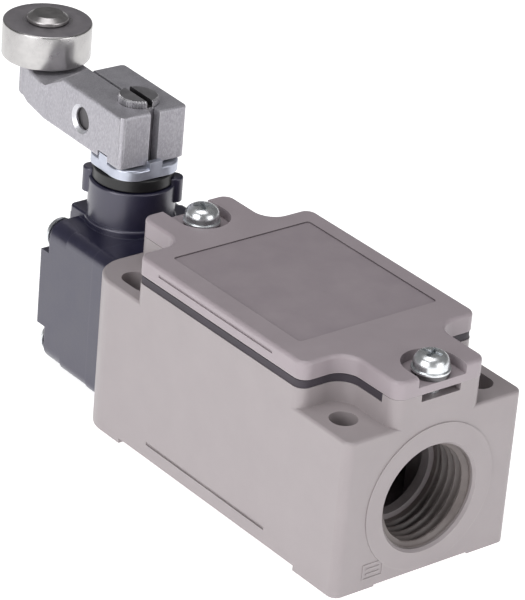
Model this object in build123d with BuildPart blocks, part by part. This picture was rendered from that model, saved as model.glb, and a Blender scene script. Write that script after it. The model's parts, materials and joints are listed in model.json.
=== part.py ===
from build123d import *
import os
from math import cos, sin, radians, sqrt

# Limit switch with a roller lever.
# Origin: centre of the four mounting holes, on the mounting plane.
# +X across the case, +Y along the case towards the head, +Z out of the cover.

# ---- driving dimensions, mm ----
CASE_HALF_W = 20.25
FACE_Y = -38.0          # conduit end face
PAD_Y = -38.2           # raised pad round the conduit
FAR_Y = 40.1            # end face that carries the head
EAR_Z = 31.4            # top of the ears
RIM_Z = 35.4            # top of the I-shaped rim
LIP_Z = 37.05           # lips round the two tabs
FOOT_RISE = 1.0         # underside between the corner feet
HOLE_X, HOLE_Y, HOLE_R = 15.0, 30.0, 2.65
SLOT_HALF = 1.7         # half of the extra length of the two long holes

I_Y0, I_Y1 = -23.9, 24.8      # full-width part of the I outline
TAB_HALF, TAB_Y0, TAB_Y1 = 10.25, -38.0, 37.5
COVER_Z0, COVER_Z1 = 37.15, 40.7
RECESS_Z, RECESS_R = 38.7, 5.5
SCREW_Y0, SCREW_Y1 = -34.7, 32.0

CONDUIT_Z, CONDUIT_R, CONDUIT_END = 15.1, 10.48, -28.0
CAV_X, CAV_Y0, CAV_Y1, CAV_Z = 17.2, -20.5, 21.0, 4.0

ZC = 16.0               # plunger axis height, centre of the head face
HEAD_Y0, HEAD_STRIP, HEAD_MID, HEAD_Y1, HEAD_Y2 = 40.4, 45.8, 54.5, 60.6, 63.2
HEAD_BOTTOM = 0.6
HEAD_HALF, ARM_HALF, HEAD_SCREW = 14.5, 8.0, 11.3
SHAFT_Y = 54.0
TURRET_R, TURRET_Z0, TURRET_Z1 = 8.5, 32.0, 39.7
CHAMBER_R = 6.0

SHAFT_R, SHAFT_TOP = 4.0, 57.0
PLATE_Z0, PLATE_Z1, PLATE_HALF = 42.45, 44.6, 7.3
LEVER_Z0, LEVER_Z1, PAD_Z = 45.0, 55.6, 51.9
LEVER_ANGLE = radians(-2.0)
LEVER_LEN = 32.0
ROLLER_R, ROLLER_Z0, ROLLER_Z1 = 8.85, 52.65, 59.9
RIVET_TOP = 61.5
SLIT_NEAR, SLIT_FAR, BLOCK_END = 1.05, 0.33, 15.9
BOLT_U, BOLT_Z = 8.0, 49.9

os.makedirs("parts", exist_ok=True)


def xz(y):
    """Plane across the case at height y along it; local x is X, local y is Z."""
    return Plane.XZ.offset(-y)


def lever_plane(z):
    """Plane at height z on the shaft axis; local x across the lever, local y towards the roller."""
    return Plane(
        origin=(0, SHAFT_Y, z),
        x_dir=(cos(LEVER_ANGLE), sin(LEVER_ANGLE), 0),
        z_dir=(0, 0, 1),
    )


def lever_side(v, sign):
    """Plane square to the clamp bolt at v; local y is Z, looking outwards on side sign."""
    d = (cos(LEVER_ANGLE), sin(LEVER_ANGLE), 0)
    return Plane(
        origin=(v * d[0], SHAFT_Y + v * d[1], 0),
        x_dir=(-sin(LEVER_ANGLE), cos(LEVER_ANGLE), 0),
        z_dir=(sign * d[0], sign * d[1], 0),
    )


def lever_xy(u, v):
    """Row position of a point in the lever's own axes."""
    return (
        v * cos(LEVER_ANGLE) - u * sin(LEVER_ANGLE),
        SHAFT_Y + u * cos(LEVER_ANGLE) + v * sin(LEVER_ANGLE),
    )


def i_points(half, y0, y1, tab, ya, yb):
    return [
        (-half, y0), (-tab, y0), (-tab, ya), (tab, ya), (tab, y0), (half, y0),
        (half, y1), (tab, y1), (tab, yb), (-tab, yb), (-tab, y1), (-half, y1),
    ]


def i_radii(sk, half, tab, y1, ya, yb, rc=2.2, rr=4.0, rt=2.3):
    """Corner radii of the I outline in the sketch sk."""
    fillet(sk.vertices().filter_by(lambda p: abs(abs(p.X) - half) < 0.01), radius=rc)
    fillet(
        sk.vertices().filter_by(lambda p: abs(abs(p.X) - tab) < 0.01 and ya + 1 < p.Y < yb - 1),
        radius=rr,
    )
    fillet(
        sk.vertices().filter_by(lambda p: abs(abs(p.X) - tab) < 0.01 and not ya + 1 < p.Y < yb - 1),
        radius=rt,
    )


# ---------------------------------------------------------------- case
with BuildPart() as case:
    with BuildSketch(Plane.XY):
        with Locations((0, (FACE_Y + FAR_Y) / 2)):
            Rectangle(2 * CASE_HALF_W, FAR_Y - FACE_Y)
    extrude(amount=EAR_Z)
    fillet(case.edges().filter_by(Axis.Z).filter_by(lambda e: e.center().Y < 0), radius=1.8)
    fillet(case.edges().filter_by(Axis.Z).filter_by(lambda e: e.center().Y > 0), radius=7.5)
    fillet(case.faces().sort_by(Axis.Z)[-1].edges(), radius=0.6)
    # raised I-shaped rim
    with BuildSketch(Plane.XY.offset(EAR_Z - 2.0)) as s:
        with BuildLine():
            Polyline(*i_points(CASE_HALF_W, I_Y0, I_Y1, TAB_HALF, TAB_Y0, TAB_Y1), close=True)
        make_face()
        i_radii(s, CASE_HALF_W, TAB_HALF, I_Y1, TAB_Y0, TAB_Y1)
    extrude(amount=RIM_Z - EAR_Z + 2.0)
    # lips round the tabs
    with BuildSketch(Plane.XY.offset(RIM_Z - 1.0)) as s:
        with BuildLine():
            Polyline(*i_points(CASE_HALF_W, I_Y0, I_Y1, TAB_HALF, TAB_Y0, TAB_Y1), close=True)
        make_face()
        i_radii(s, CASE_HALF_W, TAB_HALF, I_Y1, TAB_Y0, TAB_Y1)
        with Locations((0, (-34.2 + 28.0) / 2)):
            Rectangle(60, 28.0 + 34.2, mode=Mode.SUBTRACT)
        with Locations((0, 0)):
            Rectangle(2 * 7.5, 36.1 * 2, mode=Mode.SUBTRACT)
    extrude(amount=LIP_Z - RIM_Z + 1.0)
    # slot in the near lip for prising the cover off
    with BuildSketch(Plane.XY.offset(35.6)):
        with Locations((0.1, -37.5)):
            Rectangle(9.0, 3.4)
    extrude(amount=3, mode=Mode.SUBTRACT)
    # underside raised between the four corner feet
    with BuildSketch(Plane.XY):
        with Locations((0, (-26.3 + 26.7) / 2)):
            Rectangle(60, 26.7 + 26.3)
        with Locations((0, 30)):
            Rectangle(22, 30)
    extrude(amount=FOOT_RISE, mode=Mode.SUBTRACT)
    with BuildSketch(Plane.XY):
        with Locations((0, -32)):
            Rectangle(22, 20)
    extrude(amount=0.35, mode=Mode.SUBTRACT)
    # casting line along each long side
    with BuildSketch(Plane.XY.offset(3.7)):
        with Locations((-CASE_HALF_W, 0.5), (CASE_HALF_W, 0.5)):
            SlotCenterToCenter(35, 0.7, rotation=90)
    extrude(amount=0.7, mode=Mode.SUBTRACT)
    # pad round the conduit entry
    with BuildSketch(xz(FACE_Y + 1.0)):
        with Locations((0, 15.4)):
            Circle(14.6)
    extrude(amount=FACE_Y + 1.0 - PAD_Y)
    # conduit entry, with the step at its inner end
    with BuildSketch(xz(PAD_Y)):
        with Locations((0, CONDUIT_Z)):
            Circle(CONDUIT_R)
    extrude(amount=-(CONDUIT_END - PAD_Y), mode=Mode.SUBTRACT)
    with BuildSketch(xz(CONDUIT_END)):
        with Locations((0, CONDUIT_Z)):
            Circle(8.45)
    extrude(amount=-(CAV_Y0 + 1 - CONDUIT_END), mode=Mode.SUBTRACT)
    # the chamber reaches towards the entry behind that step
    with BuildSketch(Plane.XY.offset(CAV_Z)):
        with Locations((0, (-26.0 + CAV_Y0 + 1) / 2)):
            Rectangle(20.0, CAV_Y0 + 1 + 26.0)
    extrude(amount=22.0, mode=Mode.SUBTRACT)
    chamfer(
        case.edges().filter_by(GeomType.CIRCLE).filter_by(
            lambda e: abs(e.center().Y - PAD_Y) < 0.01 and abs(e.radius - CONDUIT_R) < 0.01
        ),
        length=0.5,
    )
    # wiring chamber, open upwards
    with BuildSketch(Plane.XY.offset(CAV_Z)):
        with Locations((0, (CAV_Y0 + CAV_Y1) / 2)):
            RectangleRounded(2 * CAV_X, CAV_Y1 - CAV_Y0, 2.0)
    extrude(amount=40, mode=Mode.SUBTRACT)
    # boss for the ground screw in the near left corner
    with BuildSketch(Plane.XY.offset(CAV_Z - 1)):
        with Locations((-14.6, -18.3)):
            Rectangle(6.8, 6.0)
    extrude(amount=11.0)
    with BuildSketch(Plane.XY.offset(CAV_Z + 2)):
        with Locations((-14.2, -17.8)):
            Circle(1.8)
    extrude(amount=12, mode=Mode.SUBTRACT)
    # passage for the plunger, and the bore for its guide
    with BuildSketch(Plane.XY.offset(CAV_Z)):
        with Locations((0, 28.0)):
            Rectangle(16, 16.0)
    extrude(amount=22.0, mode=Mode.SUBTRACT)
    with BuildSketch(xz(35.0)):
        with Locations((0, ZC)):
            Circle(3.5)
    extrude(amount=-10, mode=Mode.SUBTRACT)
    # tapped holes for the cover, head and switch-block screws
    with BuildSketch(Plane.XY.offset(27.2)):
        with Locations((0, SCREW_Y0), (0, SCREW_Y1)):
            Circle(2.05)
    extrude(amount=20, mode=Mode.SUBTRACT)
    with BuildSketch(xz(FAR_Y)):
        with Locations(*[(i * HEAD_SCREW, ZC + j * HEAD_SCREW) for i in (-1, 1) for j in (-1, 1)]):
            Circle(1.8)
    extrude(amount=5.2, mode=Mode.SUBTRACT)
    with BuildSketch(Plane.XY.offset(2.2)):
        with Locations((-10.3, -0.1), (10.3, -0.1)):
            Circle(1.55)
    extrude(amount=5, mode=Mode.SUBTRACT)
    # mounting holes: round through the foot, two of them long above it
    with BuildSketch(Plane.XY.offset(-1)):
        with GridLocations(2 * HOLE_X, 2 * HOLE_Y, 2, 2):
            Circle(HOLE_R)
    extrude(amount=60, mode=Mode.SUBTRACT)
    with BuildSketch(Plane.XY.offset(12.0)):
        with Locations((HOLE_X, -HOLE_Y), (-HOLE_X, HOLE_Y)):
            SlotCenterToCenter(2 * SLOT_HALF, 2 * HOLE_R, rotation=90)
    extrude(amount=40, mode=Mode.SUBTRACT)
    # cast mark: a small frame with two plain bars
    with BuildSketch(xz(FACE_Y + 0.5)):
        with Locations((-11.7, 3.6)):
            Rectangle(4.8, 3.2)
            Rectangle(4.2, 2.6, mode=Mode.SUBTRACT)
        with Locations((-11.7, 4.1), (-11.7, 3.1)):
            Rectangle(3.0, 0.35)
    extrude(amount=0.62)
case.part.label = "case"
export_step(case.part, "parts/case.step")

# ---------------------------------------------------------------- gasket and cover
with BuildPart() as cover_gasket:
    for z0, dz, inset in ((RIM_Z, 1.5, 0.15), (RIM_Z + 1.5, 0.25, 0.7)):
        with BuildSketch(Plane.XY.offset(z0)) as s:
            with BuildLine():
                Polyline(
                    *i_points(
                        CASE_HALF_W - inset, I_Y0 + inset, I_Y1 - inset,
                        TAB_HALF - inset, TAB_Y0 + inset, TAB_Y1 - inset,
                    ),
                    close=True,
                )
            make_face()
            i_radii(
                s, CASE_HALF_W - inset, TAB_HALF - inset, I_Y1, TAB_Y0 + inset, TAB_Y1 - inset,
                rc=2.2 - inset, rr=4.0 + inset, rt=1.5,
            )
            for y in (-43.2, 39.0):
                with Locations((0, y)):
                    Rectangle(40, 18 if y < 0 else 22, mode=Mode.SUBTRACT)
            with Locations((0, (-36.0 + 35.9) / 2)):
                Rectangle(14.8, 36.0 + 35.9)
            with Locations((0, 0.25)):
                RectangleRounded(33.4, 40.5, 2.0, mode=Mode.SUBTRACT)
            with Locations((0, SCREW_Y0), (0, SCREW_Y1)):
                Circle(2.3, mode=Mode.SUBTRACT)
        extrude(amount=dz)
cover_gasket.part.label = "cover_gasket"
export_step(cover_gasket.part, "parts/cover_gasket.step")

with BuildPart() as cover:
    with BuildSketch(Plane.XY.offset(COVER_Z0)) as s:
        with BuildLine():
            Polyline(*i_points(20.2, I_Y0 - 0.1, I_Y1 + 0.1, TAB_HALF, -38.1, TAB_Y1), close=True)
        make_face()
        i_radii(s, 20.2, TAB_HALF, I_Y1, -38.1, TAB_Y1)
    extrude(amount=COVER_Z1 - COVER_Z0)
    fillet(cover.faces().sort_by(Axis.Z)[-1].edges(), radius=0.7)
    # recesses round the two screws, open at the tab ends
    with BuildSketch(Plane.XY.offset(RECESS_Z)):
        with Locations((0, SCREW_Y0), (0, SCREW_Y1)):
            Circle(RECESS_R)
        with Locations((0, SCREW_Y0 - 5), (0, SCREW_Y1 + 5)):
            Rectangle(2 * RECESS_R, 10)
    extrude(amount=5, mode=Mode.SUBTRACT)
    with BuildSketch(Plane.XY.offset(COVER_Z0)):
        with Locations((0, SCREW_Y0), (0, SCREW_Y1)):
            Circle(2.2)
    extrude(amount=5, mode=Mode.SUBTRACT)
    # shallow field for the plate on top
    with BuildSketch(Plane.XY.offset(COVER_Z1 - 0.3)):
        with Locations((0.5, 1.75)):
            RectangleRounded(32.0, 37.5, 0.8)
    extrude(amount=2, mode=Mode.SUBTRACT)
    # groove along the left edge
    with BuildSketch(Plane.XY.offset(38.8)):
        with Locations((-20.2, 1.5)):
            SlotCenterToCenter(33, 0.6, rotation=90)
    extrude(amount=0.6, mode=Mode.SUBTRACT)
    # hollow underside
    with BuildSketch(Plane.XY.offset(COVER_Z0)):
        with Locations((0, 0.25)):
            RectangleRounded(33.0, 40.0, 2.0)
    extrude(amount=1.2, mode=Mode.SUBTRACT)
cover.part.label = "cover"
export_step(cover.part, "parts/cover.step")

with BuildPart() as cover_screw_spring_washers:
    with BuildSketch(Plane.XY.offset(RECESS_Z + 0.03)):
        with Locations((0, SCREW_Y0), (0, SCREW_Y1)):
            Circle(3.4)
            Circle(2.15, mode=Mode.SUBTRACT)
        # the split of each ring
        with Locations(Location((-2.8, SCREW_Y0 + 0.3), 20), Location((2.7, SCREW_Y1 + 0.6), -15)):
            Rectangle(2.4, 0.35, mode=Mode.SUBTRACT)
    extrude(amount=0.85)
cover_screw_spring_washers.part.label = "cover_screw_spring_washers"
export_step(cover_screw_spring_washers.part, "parts/cover_screw_spring_washers.step")

with BuildPart() as cover_screw_washers:
    with BuildSketch(Plane.XY.offset(RECESS_Z + 0.9)):
        with Locations((0, SCREW_Y0), (0, SCREW_Y1)):
            Circle(3.6)
            Circle(2.15, mode=Mode.SUBTRACT)
    extrude(amount=0.5)
cover_screw_washers.part.label = "cover_screw_washers"
export_step(cover_screw_washers.part, "parts/cover_screw_washers.step")

with BuildPart() as cover_screws:
    with BuildSketch(Plane.XY.offset(27.6)):
        with Locations((0, SCREW_Y0), (0, SCREW_Y1)):
            Circle(2.0)
    extrude(amount=40.2 - 27.6)
    with BuildSketch(Plane.XY.offset(40.12)):
        with Locations((0, SCREW_Y0), (0, SCREW_Y1)):
            Circle(3.3)
    extrude(amount=42.9 - 40.12)
    fillet(
        cover_screws.edges().filter_by(GeomType.CIRCLE).filter_by(lambda e: e.center().Z > 42.8),
        radius=1.9,
    )
    with BuildSketch(Plane.XY.offset(42.9)) as s:
        with Locations(Location((0, SCREW_Y0), 25), Location((0, SCREW_Y1), 60)):
            Rectangle(3.7, 0.9)
            Rectangle(0.9, 3.7)
    extrude(amount=-1.6, taper=8, mode=Mode.SUBTRACT)
cover_screws.part.label = "cover_screws"
export_step(cover_screws.part, "parts/cover_screws.step")

# ---------------------------------------------------------------- head
with BuildPart() as head_gasket:
    with BuildSketch(xz(FAR_Y)):
        with Locations((0, ZC)):
            RectangleRounded(28.4, 28.4, 2.5)
            Circle(5.0, mode=Mode.SUBTRACT)
        with Locations(*[(i * HEAD_SCREW, ZC + j * HEAD_SCREW) for i in (-1, 1) for j in (-1, 1)]):
            Circle(2.1, mode=Mode.SUBTRACT)
    extrude(amount=-(HEAD_Y0 - FAR_Y))
head_gasket.part.label = "head_gasket"
export_step(head_gasket.part, "parts/head_gasket.step")

with BuildPart() as head_body:
    # base flange
    with BuildSketch(xz(HEAD_Y0)) as s:
        with Locations((0, (HEAD_BOTTOM + ZC + HEAD_HALF) / 2)):
            Rectangle(2 * HEAD_HALF + 0.3, ZC + HEAD_HALF - HEAD_BOTTOM + 0.3)
        fillet(s.vertices().filter_by(lambda p: p.Z > ZC), radius=4.5)
        fillet(s.vertices().filter_by(lambda p: p.Z < 4 and abs(abs(p.X) - 14.65) < 0.01), radius=2.5)
    extrude(amount=-(HEAD_STRIP - HEAD_Y0))
    # middle
    with BuildSketch(xz(HEAD_STRIP)) as s:
        with Locations((0, (HEAD_BOTTOM + ZC + HEAD_HALF) / 2)):
            Rectangle(2 * HEAD_HALF, ZC + HEAD_HALF - HEAD_BOTTOM)
        fillet(s.vertices().filter_by(lambda p: p.Z > ZC), radius=4.5)
        fillet(s.vertices().filter_by(lambda p: p.Z < 4 and abs(abs(p.X) - 14.5) < 0.01), radius=2.5)
    extrude(amount=-(HEAD_MID - HEAD_STRIP))
    # end with the four screw bosses
    with BuildSketch(xz(HEAD_MID)):
        with Locations((0, (HEAD_BOTTOM + ZC + HEAD_HALF) / 2)):
            RectangleRounded(2 * HEAD_HALF, ZC + HEAD_HALF - HEAD_BOTTOM, 3.3)
    extrude(amount=-(HEAD_Y1 - HEAD_MID))
    fillet(head_body.faces().sort_by(Axis.Y)[-1].edges(), radius=0.8)
    # cross-shaped raised face
    with BuildSketch(xz(HEAD_Y1 - 1)):
        with Locations((0, ZC)):
            Rectangle(2 * HEAD_HALF, 2 * ARM_HALF)
            Rectangle(2 * ARM_HALF, 2 * HEAD_HALF)
    extrude(amount=-(HEAD_Y2 - HEAD_Y1 + 1))
    fillet(head_body.faces().sort_by(Axis.Y)[-1].edges(), radius=0.9)
    # raised pad under the turret
    with BuildSketch(Plane.XY.offset(30.3)) as s:
        with Locations((0, (SHAFT_Y + HEAD_Y2) / 2)):
            Rectangle(2 * ARM_HALF, HEAD_Y2 - SHAFT_Y)
        fillet(s.vertices().filter_by(lambda p: p.Y > HEAD_Y2 - 0.01), radius=1.2)
        with Locations((0, SHAFT_Y)):
            Circle(TURRET_R + 0.45)
    extrude(amount=TURRET_Z0 - 30.3)
    fillet(head_body.faces().filter_by(Axis.Z).sort_by(Axis.Z)[-1].edges(), radius=0.5)
    # turret
    with BuildSketch(Plane.XY.offset(TURRET_Z0 - 1)):
        with Locations((0, SHAFT_Y)):
            Circle(TURRET_R)
    extrude(amount=TURRET_Z1 - TURRET_Z0 + 1)
    fillet(head_body.faces().filter_by(Axis.Z).sort_by(Axis.Z)[-1].edges(), radius=0.4)
    # lugs on the turret
    with BuildSketch(Plane.XY.offset(36.0)):
        with Locations((-5.66, SHAFT_Y + 5.66), (5.66, SHAFT_Y - 5.66)):
            Circle(1.75)
    extrude(amount=5.0)
    fillet(
        head_body.edges().filter_by(GeomType.CIRCLE).filter_by(
            lambda e: e.center().Z > 40.9 and abs(e.radius - 1.75) < 0.01
        ),
        radius=0.4,
    )
    # shaft chamber and bush bore, foot bearing for the shaft
    with BuildSketch(Plane.XY.offset(8.0)):
        with Locations((0, SHAFT_Y)):
            Circle(CHAMBER_R)
    extrude(amount=40, mode=Mode.SUBTRACT)
    with BuildSketch(Plane.XY.offset(4.0)):
        with Locations((0, SHAFT_Y)):
            Circle(3.05)
    extrude(amount=5, mode=Mode.SUBTRACT)
    # plunger and spring bore
    with BuildSketch(xz(HEAD_Y0)):
        with Locations((0, ZC)):
            Circle(5.0)
    extrude(amount=-(50.0 - HEAD_Y0), mode=Mode.SUBTRACT)
    # screw holes
    with BuildSketch(xz(HEAD_Y0)):
        with Locations(*[(i * HEAD_SCREW, ZC + j * HEAD_SCREW) for i in (-1, 1) for j in (-1, 1)]):
            Circle(2.1)
    extrude(amount=-30, mode=Mode.SUBTRACT)
head_body.part.label = "head_body"
export_step(head_body.part, "parts/head_body.step")

with BuildPart() as head_screws:
    with BuildSketch(xz(35.3)):
        with Locations(*[(i * HEAD_SCREW, ZC + j * HEAD_SCREW) for i in (-1, 1) for j in (-1, 1)]):
            Circle(1.75)
    extrude(amount=-(60.9 - 35.3))
    with BuildSketch(xz(HEAD_Y1 + 0.03)):
        with Locations(*[(i * HEAD_SCREW, ZC + j * HEAD_SCREW) for i in (-1, 1) for j in (-1, 1)]):
            Circle(3.15)
    extrude(amount=-(62.0 - HEAD_Y1 - 0.03))
    fillet(
        head_screws.edges().filter_by(GeomType.CIRCLE).filter_by(lambda e: e.center().Y > 61.9),
        radius=1.0,
    )
    with BuildSketch(xz(62.0)):
        for k, (i, j) in enumerate(((-1, -1), (-1, 1), (1, -1), (1, 1))):
            with Locations(Location((i * HEAD_SCREW, ZC + j * HEAD_SCREW), 20 + 31 * k)):
                Rectangle(3.4, 0.85)
                Rectangle(0.85, 3.4)
    extrude(amount=1.3, taper=8, mode=Mode.SUBTRACT)
head_screws.part.label = "head_screws"
export_step(head_screws.part, "parts/head_screws.step")

with BuildPart() as turret_bush:
    with BuildSketch(Plane.XY.offset(27.0)):
        with Locations((0, SHAFT_Y)):
            Circle(CHAMBER_R - 0.02)
            Circle(SHAFT_R + 0.05, mode=Mode.SUBTRACT)
    extrude(amount=9.8)
turret_bush.part.label = "turret_bush"
export_step(turret_bush.part, "parts/turret_bush.step")

with BuildPart() as shaft_o_ring:
    with BuildSketch(Plane(origin=(0, SHAFT_Y, 38.2), x_dir=(1, 0, 0), z_dir=(0, -1, 0))):
        with Locations((4.98, 0)):
            Circle(0.9)
    revolve(axis=Axis((0, SHAFT_Y, 0), (0, 0, 1)), revolution_arc=360)
shaft_o_ring.part.label = "shaft_o_ring"
export_step(shaft_o_ring.part, "parts/shaft_o_ring.step")

with BuildPart() as shaft_seal:
    with BuildSketch(Plane.XY.offset(TURRET_Z1 + 0.03)):
        with Locations((0, SHAFT_Y)):
            Circle(7.9)
            Circle(SHAFT_R + 0.08, mode=Mode.SUBTRACT)
    extrude(amount=42.3 - TURRET_Z1 - 0.03)
    fillet(
        shaft_seal.edges().filter_by(GeomType.CIRCLE).filter_by(lambda e: abs(e.radius - 7.9) < 0.01),
        radius=0.35,
    )
    with BuildSketch(Plane.XY.offset(TURRET_Z1)):
        with Locations((-5.66, SHAFT_Y + 5.66), (5.66, SHAFT_Y - 5.66)):
            Circle(2.05)
    extrude(amount=1.6, mode=Mode.SUBTRACT)
shaft_seal.part.label = "shaft_seal"
export_step(shaft_seal.part, "parts/shaft_seal.step")

# ---------------------------------------------------------------- shaft
with BuildPart() as rotary_shaft:
    with BuildSketch(Plane.XY.offset(4.3)):
        with Locations((0, SHAFT_Y)):
            Circle(3.0)
    extrude(amount=6.0)
    with BuildSketch(Plane.XY.offset(8.3)):
        with Locations((0, SHAFT_Y)):
            Circle(SHAFT_R)
    extrude(amount=SHAFT_TOP - 8.3)
    chamfer(
        rotary_shaft.edges().filter_by(GeomType.CIRCLE).filter_by(lambda e: e.center().Z > SHAFT_TOP - 0.01),
        length=0.35,
    )
    # screwdriver slot
    with BuildSketch(lever_plane(SHAFT_TOP - 1.3)):
        Rectangle(1.3, 10)
    extrude(amount=3, mode=Mode.SUBTRACT)
    # groove for the retaining clip
    with BuildSketch(Plane.XY.offset(24.0)):
        with Locations((0, SHAFT_Y)):
            Circle(5)
            Circle(3.4, mode=Mode.SUBTRACT)
    extrude(amount=0.9, mode=Mode.SUBTRACT)
rotary_shaft.part.label = "rotary_shaft"
export_step(rotary_shaft.part, "parts/rotary_shaft.step")

with BuildPart() as shaft_retaining_clip:
    with BuildSketch(lever_plane(24.05)):
        Circle(5.4)
        Circle(3.42, mode=Mode.SUBTRACT)
        with Locations((0, 5)):
            Rectangle(5.2, 10, mode=Mode.SUBTRACT)
    extrude(amount=0.8)
shaft_retaining_clip.part.label = "shaft_retaining_clip"
export_step(shaft_retaining_clip.part, "parts/shaft_retaining_clip.step")

with BuildPart() as shaft_cam:
    with BuildSketch(lever_plane(11.0)):
        Circle(5.7)
        with Locations((0, -8.0)):
            Rectangle(12, 6.0, mode=Mode.SUBTRACT)
        Circle(SHAFT_R + 0.02, mode=Mode.SUBTRACT)
    extrude(amount=10)
shaft_cam.part.label = "shaft_cam"
export_step(shaft_cam.part, "parts/shaft_cam.step")

# ---------------------------------------------------------------- plate and lever
with BuildPart() as position_plate:
    with BuildSketch(lever_plane(PLATE_Z0)):
        RectangleRounded(2 * PLATE_HALF, 2 * PLATE_HALF, 4.5)
        Circle(SHAFT_R + 0.05, mode=Mode.SUBTRACT)
    extrude(amount=PLATE_Z1 - PLATE_Z0)
    fillet(
        position_plate.faces().sort_by(Axis.Z)[-1].edges().filter_by(
            lambda e: e.length > 2 and not (e.geom_type == GeomType.CIRCLE and e.radius < 4.2)
        ),
        radius=0.5,
    )
    # upturned tabs at the middles of the sides
    with BuildSketch(lever_plane(PLATE_Z1 - 1.0)):
        with Locations((0, -PLATE_HALF + 0.6), (0, PLATE_HALF - 0.6)):
            Rectangle(2.85, 1.2)
        with Locations((-PLATE_HALF + 0.6, 0), (PLATE_HALF - 0.6, 0)):
            Rectangle(1.2, 2.85)
    extrude(amount=45.8 - PLATE_Z1 + 1.0)
position_plate.part.label = "position_plate"
export_step(position_plate.part, "parts/position_plate.step")

with BuildPart() as lever_arm:
    # flat arm out to the roller
    with BuildSketch(lever_plane(LEVER_Z0)):
        with BuildLine():
            Polyline(
                (-SLIT_NEAR, -5.9), (-7.5, -5.9), (-7.5, 20.5), (-6.25, 28.35), (-5.15, LEVER_LEN - 0.4),
            )
            ThreePointArc((-5.15, LEVER_LEN - 0.4), (-0.2, LEVER_LEN + 4.75), (4.9, LEVER_LEN - 0.4))
            Polyline(
                (4.9, LEVER_LEN - 0.4), (5.1, 22.0), (4.6, 18.4), (1.2, 17.0), (-SLIT_FAR, 16.6),
                (-SLIT_FAR, 0.0), (-SLIT_NEAR, 0.0), (-SLIT_NEAR, -5.9),
            )
        make_face()
    extrude(amount=PAD_Z - LEVER_Z0)
    # clamp block and the slanted ramp down to the arm
    with BuildSketch(lever_plane(PAD_Z - 1)):
        with BuildLine():
            Polyline(
                (-SLIT_NEAR, -5.9), (-7.5, -5.9), (-7.5, 22.0), (-SLIT_FAR, 22.0), (-SLIT_FAR, 0.0),
                (-SLIT_NEAR, 0.0), (-SLIT_NEAR, -5.9),
            )
        make_face()
    extrude(amount=LEVER_Z1 - PAD_Z + 1)
    ramp = radians(13.5)
    along = (
        cos(LEVER_ANGLE + ramp), sin(LEVER_ANGLE + ramp), 0,
    )
    foot = lever_xy(15.15, -7.5)
    with BuildSketch(
        Plane(origin=(foot[0] - 8 * along[0], foot[1] - 8 * along[1], 0), x_dir=(-along[1], along[0], 0), z_dir=along)
    ):
        with BuildLine():
            Polyline((0, LEVER_Z1), (5.4, PAD_Z), (14, PAD_Z), (14, LEVER_Z1 + 1), (0, LEVER_Z1 + 1), close=True)
        make_face()
    extrude(amount=24, mode=Mode.SUBTRACT)
    # half of the shaft bore
    with BuildSketch(lever_plane(LEVER_Z0 - 1)):
        Circle(SHAFT_R + 0.03)
    extrude(amount=20, mode=Mode.SUBTRACT)
    # soften the outer edges
    fillet(
        lever_arm.edges().filter_by(Axis.Z).filter_by(
            lambda e: (e.center() - Vector(*lever_xy(-5.9, -7.5), e.center().Z)).length < 0.1
        ),
        radius=0.9,
    )
    # clamp bolt: tapped hole, open on the far side with a countersink
    with BuildSketch(lever_side(-8.0, 1)):
        with Locations((BOLT_U, BOLT_Z)):
            Circle(2.3)
    extrude(amount=8.5, mode=Mode.SUBTRACT)
    with BuildSketch(lever_side(-6.5, 1)):
        with Locations((BOLT_U, BOLT_Z)):
            Circle(2.55)
    extrude(amount=7.0, mode=Mode.SUBTRACT)
    with BuildSketch(lever_side(-7.5, 1)):
        with Locations((BOLT_U, BOLT_Z)):
            Circle(2.95)
    extrude(amount=0.62, taper=45, mode=Mode.SUBTRACT)
    # rivet hole for the roller pin
    with BuildSketch(lever_plane(LEVER_Z0 - 1)):
        with Locations((0, LEVER_LEN)):
            Circle(2.53)
    extrude(amount=20, mode=Mode.SUBTRACT)
    # notches under the block for the plate's tabs
    with BuildSketch(lever_plane(LEVER_Z0)):
        with Locations((-7.0, 0)):
            Rectangle(2.6, 3.2)
        with Locations((0, 6.7)):
            Rectangle(3.2, 1.9)
    extrude(amount=1.2, mode=Mode.SUBTRACT)
lever_arm.part.label = "lever_arm"
export_step(lever_arm.part, "parts/lever_arm.step")

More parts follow.
